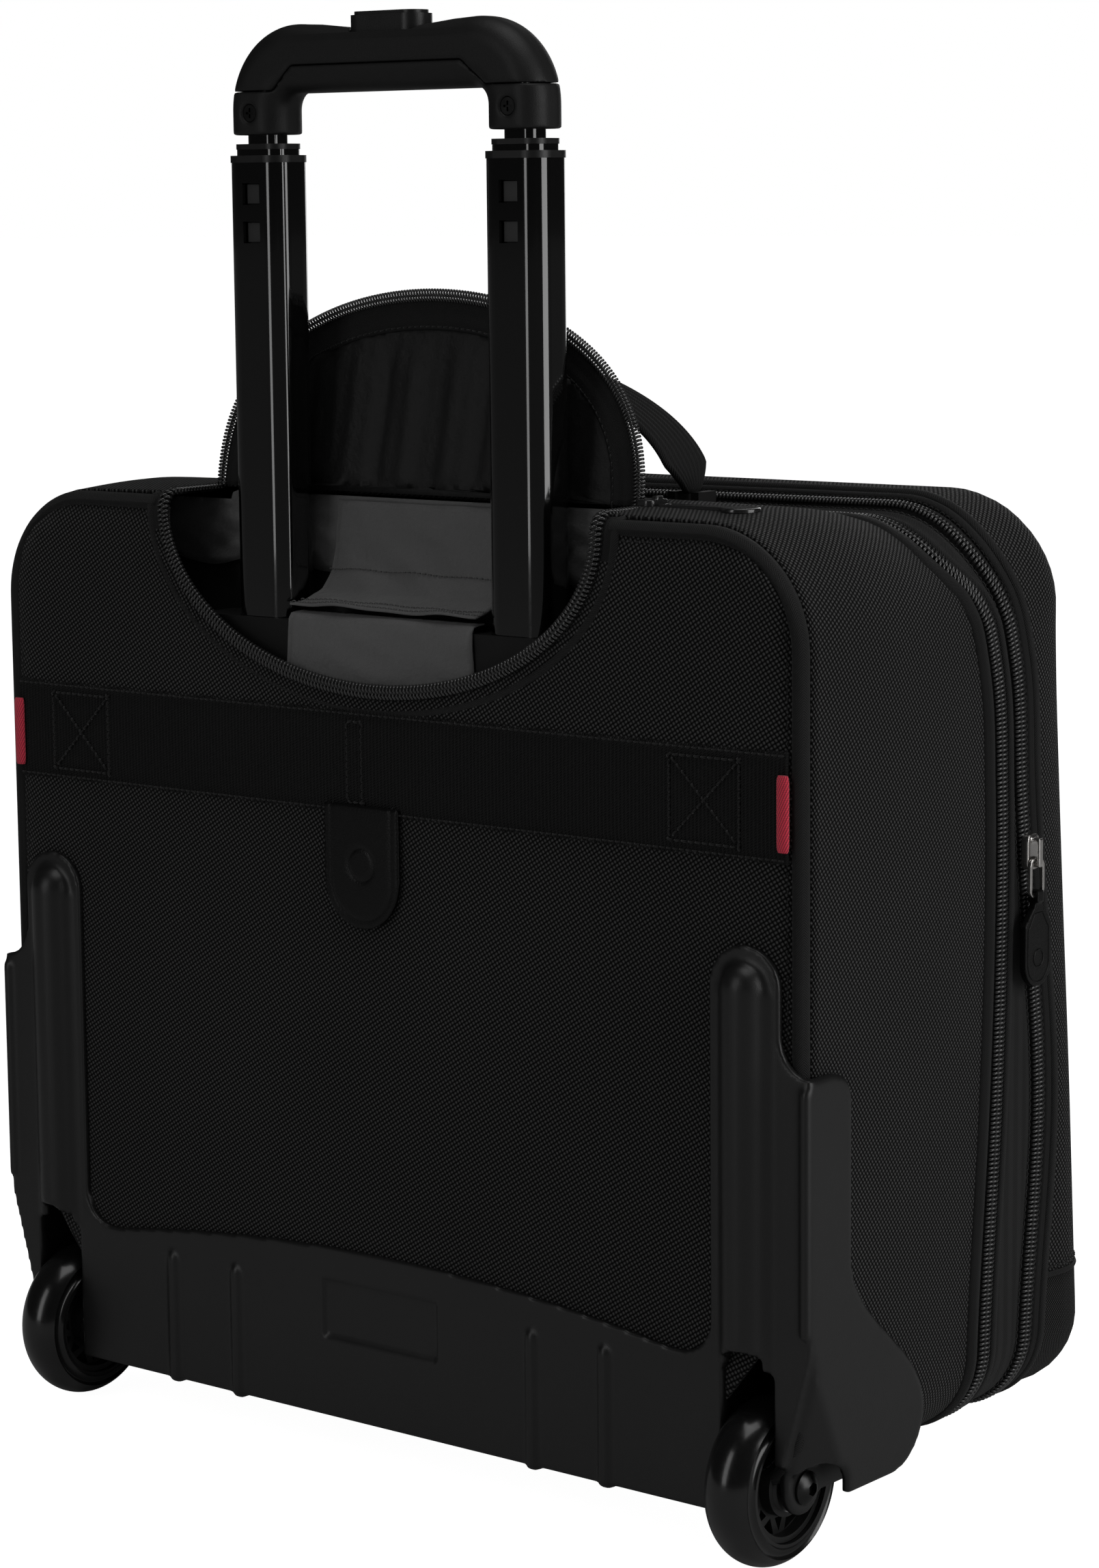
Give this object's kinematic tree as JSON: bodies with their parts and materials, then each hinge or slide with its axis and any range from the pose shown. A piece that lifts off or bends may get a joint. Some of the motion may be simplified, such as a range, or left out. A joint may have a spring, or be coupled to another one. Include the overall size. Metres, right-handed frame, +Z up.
{
  "type": "rolling laptop case",
  "caption": "Soft-sided wheeled laptop case with a moulded wheel base, a three-stage telescopic handle, zipped compartments and a zip-open handle flap.",
  "frame": {"origin": "on the floor under the middle of the case, halfway between the foremost and rearmost points", "axes": "+Z up, +Y towards the back where the handle and wheels are, +X towards the left wheel"},
  "size_m": [0.454, 0.2473, 0.618],
  "materials": {
    "ballistic_fabric": "coarse black ballistic nylon weave",
    "webbing": "ribbed black polyester webbing",
    "red_twill": "red twill tag",
    "lining_black": "black satin lining",
    "lining_grey": "silver-grey satin lining",
    "leather_black": "black grained leather",
    "moulded_black": "fine-spark matte moulding",
    "soft_touch": "soft-touch moulding",
    "gloss_tube": "gloss black anodised tube",
    "coil": "nylon zip coil and tape",
    "zip_black_metal": "gunmetal black",
    "nickel": "satin nickel",
    "steel": "zinc-plated steel",
    "black_steel": "blackened steel",
    "wheel_pu": "glossy polyurethane",
    "board": "polyethylene board"
  },
  "bodies": {
    "case": {"back_panel": "ballistic_fabric", "edge_piping": "ballistic_fabric", "rear_gusset": "ballistic_fabric", "main_zip": "coil", "centre_panel": "ballistic_fabric", "front_zip": "coil", "front_shell": "ballistic_fabric", "front_pocket": "ballistic_fabric", "pocket_zip": "coil", "frame_board": "board", "laptop_divider": "lining_grey", "base_board": "board", "trolley_lining": "lining_grey", "lining_strap": "lining_grey", "webbing_band": "webbing", "band_tags": "red_twill", "leather_tab": "leather_black", "opening_zip": "coil", "rear_bumper": "moulded_black", "front_feet": "moulded_black", "handle_channels": "moulded_black", "top_bracket": "moulded_black", "bottom_bracket": "moulded_black", "flap_slider": "zip_black_metal", "handle_anchors": "moulded_black", "axle_bolts": "black_steel", "axle_nuts": "steel"},
    "stage_1": {"stage_1_tubes": "gloss_tube", "stage_1_collars": "moulded_black"},
    "stage_2": {"stage_2_tubes": "gloss_tube", "stage_2_collars": "moulded_black", "stage_2_glides": "moulded_black", "lock_blocks": "board"},
    "grip": {"stage_3_tubes": "gloss_tube", "stage_3_glides": "moulded_black", "grip_upper": "soft_touch", "grip_lower": "soft_touch", "grip_screws": "black_steel", "button_springs": "steel"},
    "release": {"release_button": "soft_touch", "push_bar": "moulded_black", "push_rods": "steel"},
    "wheel_left": {"tyre_left": "wheel_pu", "hub_left": "moulded_black", "bearings_left": "steel"},
    "wheel_right": {"tyre_right": "wheel_pu", "hub_right": "moulded_black", "bearings_right": "steel"},
    "flap": {"flap": "ballistic_fabric", "flap_lining": "lining_black", "flap_zip": "coil"},
    "carry_handle": {"carry_handle": "webbing"},
    "flap_puller": {"flap_puller": "zip_black_metal"},
    "front_slider": {"front_slider": "nickel"},
    "front_puller": {"front_puller_ring": "nickel", "front_puller": "leather_black"},
    "main_slider": {"main_slider": "nickel"},
    "main_puller": {"main_puller": "nickel"}
  },
  "joints": [
    {"name": "stage_1_slide", "type": "slide", "parent": "case", "child": "stage_1", "axis": [0, 0, 1], "range_m": [-0.19, 0], "stiffness_N_per_m": 1500},
    {"name": "stage_2_slide", "type": "slide", "parent": "stage_1", "child": "stage_2", "axis": [0, 0, 1], "range_m": [0, 0.22]},
    {"name": "stage_3_slide", "type": "slide", "parent": "stage_2", "child": "grip", "axis": [0, 0, 1], "range_m": [0, 0.22]},
    {"name": "release_press", "type": "slide", "parent": "grip", "child": "release", "axis": [0, 0, 1], "range_m": [-0.003, 0], "stiffness_N_per_m": 1200, "springref_m": 0.001, "deforming": ["button_springs"]},
    {"name": "wheel_left_spin", "type": "hinge", "parent": "case", "child": "wheel_left", "pos_m": [0.1935, 0.0887, 0.035], "axis": [1, 0, 0], "continuous": true},
    {"name": "wheel_right_spin", "type": "hinge", "parent": "case", "child": "wheel_right", "pos_m": [-0.1935, 0.0887, 0.035], "axis": [1, 0, 0], "continuous": true},
    {"name": "flap_fold", "type": "hinge", "parent": "case", "child": "flap", "pos_m": [0, 0.065, 0.4172], "axis": [1, 0, 0], "range_deg": [-6, 14], "stiffness_Nm_per_rad": 0.4},
    {"name": "carry_handle_fold", "type": "hinge", "parent": "case", "child": "carry_handle", "pos_m": [0, 0.02, 0.42], "axis": [1, 0, 0], "range_deg": [0, 45], "stiffness_Nm_per_rad": 0.2},
    {"name": "flap_puller_lift", "type": "hinge", "parent": "case", "child": "flap_puller", "pos_m": [-0.1275, 0.068, 0.4194], "axis": [0, 1, 0], "range_deg": [0, 70]},
    {"name": "front_slider_run", "type": "slide", "parent": "case", "child": "front_slider", "axis": [0, 0.1264, 0.992], "range_m": [-0.1, 0.025], "stiffness_N_per_m": 80},
    {"name": "front_puller_swing", "type": "hinge", "parent": "front_slider", "child": "front_puller", "pos_m": [-0.2245, -0.057, 0.269], "axis": [0, 1, 0], "range_deg": [0, 60]},
    {"name": "main_slider_run", "type": "slide", "parent": "case", "child": "main_slider", "axis": [0, 0, 1], "range_m": [-0.09, 0.04], "stiffness_N_per_m": 80},
    {"name": "main_puller_swing", "type": "hinge", "parent": "main_slider", "child": "main_puller", "pos_m": [0.2245, -0.038, 0.247], "axis": [0, 1, 0], "range_deg": [-60, 0]}
  ]
}
